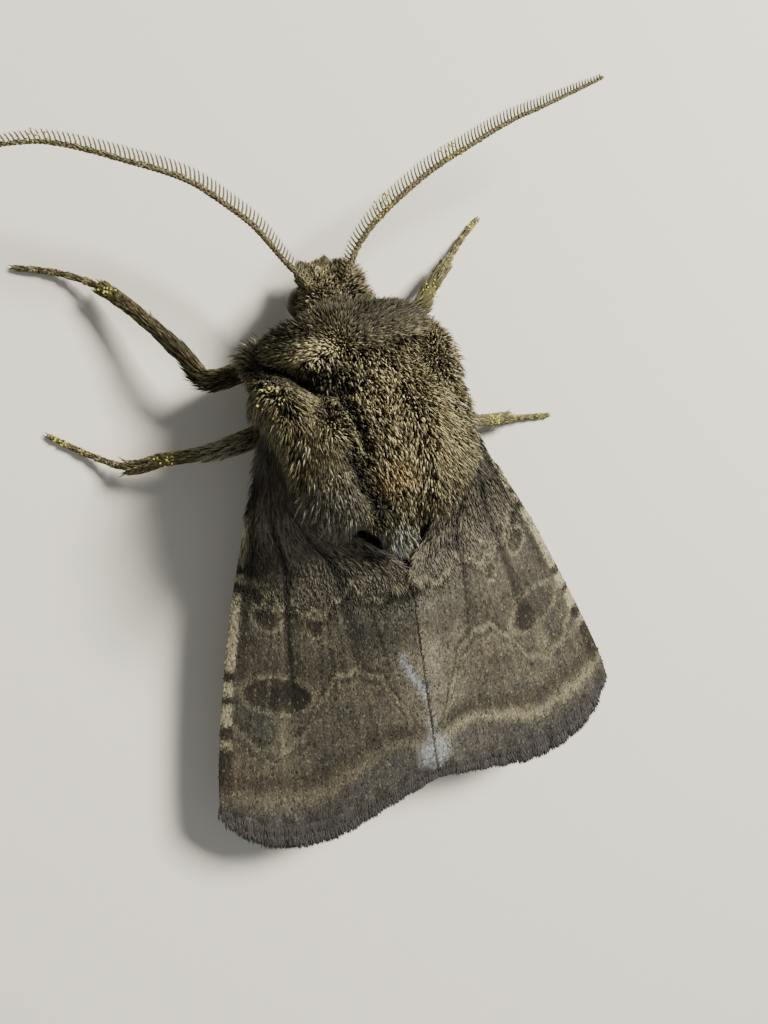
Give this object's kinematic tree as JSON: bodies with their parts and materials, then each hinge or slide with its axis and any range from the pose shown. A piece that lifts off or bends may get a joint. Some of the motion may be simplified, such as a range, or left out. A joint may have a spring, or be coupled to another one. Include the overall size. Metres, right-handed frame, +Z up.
{
  "type": "owlet moth",
  "caption": "Life-size owlet moth at rest: furry keeled thorax, comb feelers, splayed legs and brown mottled wings folded back as a low roof.",
  "frame": {"origin": "middle of the footprint, on the floor that the six feet stand on", "axes": "+X to the moth's left, -Y towards its head, +Z up from the floor"},
  "size_m": [0.021, 0.0244, 0.0064],
  "materials": {
    "coat": "matte hair scales, grey-brown with pale tips",
    "forewing": "matte overlapping scales, mottled grey-brown",
    "hindwing": "matte pale grey-brown scales",
    "antenna": "matte brown horn",
    "leg": "matte scaled brown",
    "eye": "glossy dark facets"
  },
  "bodies": {
    "root": {"head": "coat", "eye_left": "eye", "eye_right": "eye", "palp_left": "coat", "palp_right": "coat", "antenna_left": "antenna", "antenna_right": "antenna", "collar": "coat", "thorax": "coat", "tegula_left": "coat", "tegula_right": "coat", "abdomen": "coat", "forewing_left": "forewing", "forewing_right": "forewing", "hindwing_left": "hindwing", "hindwing_right": "hindwing", "foreleg_left": "leg", "foreleg_right": "leg", "midleg_left": "leg", "midleg_right": "leg", "hindleg_left": "leg", "hindleg_right": "leg"}
  },
  "joints": []
}
